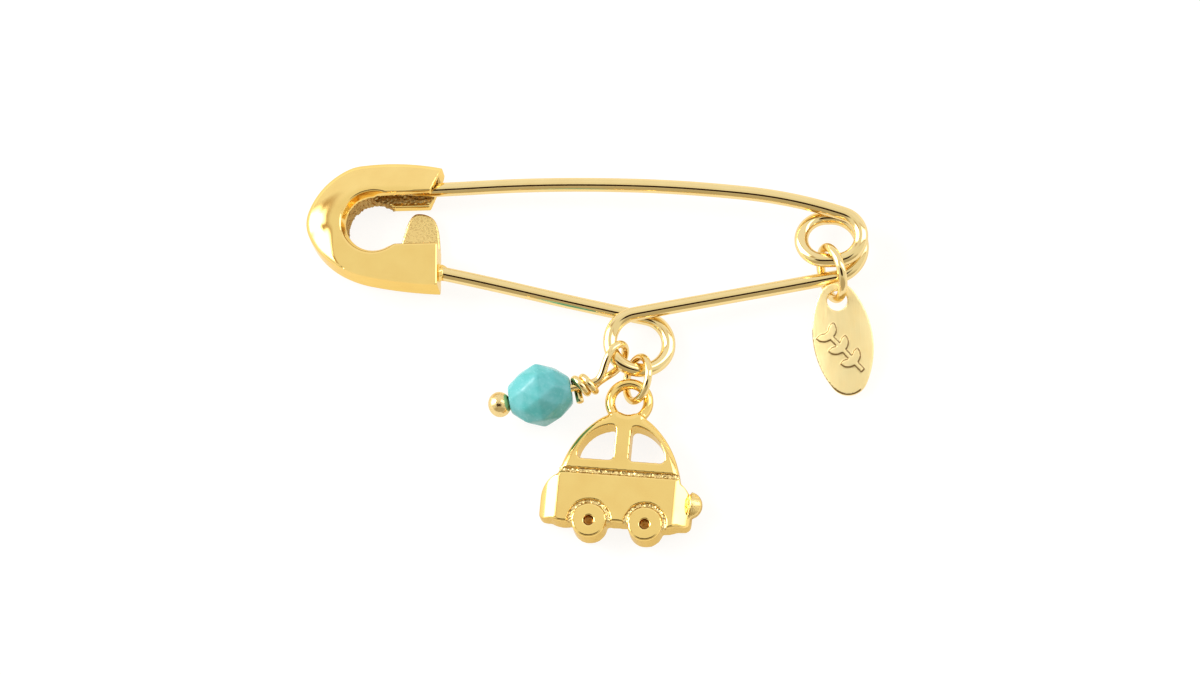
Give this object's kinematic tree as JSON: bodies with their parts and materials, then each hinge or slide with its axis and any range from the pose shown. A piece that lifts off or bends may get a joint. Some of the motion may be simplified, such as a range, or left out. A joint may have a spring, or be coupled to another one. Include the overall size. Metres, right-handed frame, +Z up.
{
  "type": "safety pin brooch",
  "caption": "Gold-plated safety pin brooch with a cast clasp cap, coil spring and middle loop, carrying a small car charm, a faceted bead on a wire eye and an oval tag on rings.",
  "frame": {"origin": "middle of the bounding box, on the surface that the brooch lies on", "axes": "+X runs along the pin from the clasp cap to the coil, +Y runs up the pin's face from the charms to the tongue, +Z runs up from the surface through the front of the brooch"},
  "size_m": [0.0445, 0.0311, 0.0047],
  "materials": {
    "gold_plate": "polished gold plate",
    "satin_gold": "satin gold plate",
    "turquoise_glass": "opaque fire-polished glass"
  },
  "bodies": {
    "frame": {"pin_frame": "gold_plate", "tag_ring": "gold_plate", "tag": "satin_gold", "car_ring": "gold_plate", "car_charm": "gold_plate", "bead": "turquoise_glass", "bead_pin": "gold_plate"},
    "tongue": {"pin_tongue": "gold_plate"}
  },
  "joints": [
    {"name": "tongue_press", "type": "hinge", "parent": "frame", "child": "tongue", "pos_m": [0.01955, 0.00835, 0], "axis": [0, 0, 1], "range_deg": [0, 6], "stiffness_Nm_per_rad": 0.02}
  ]
}
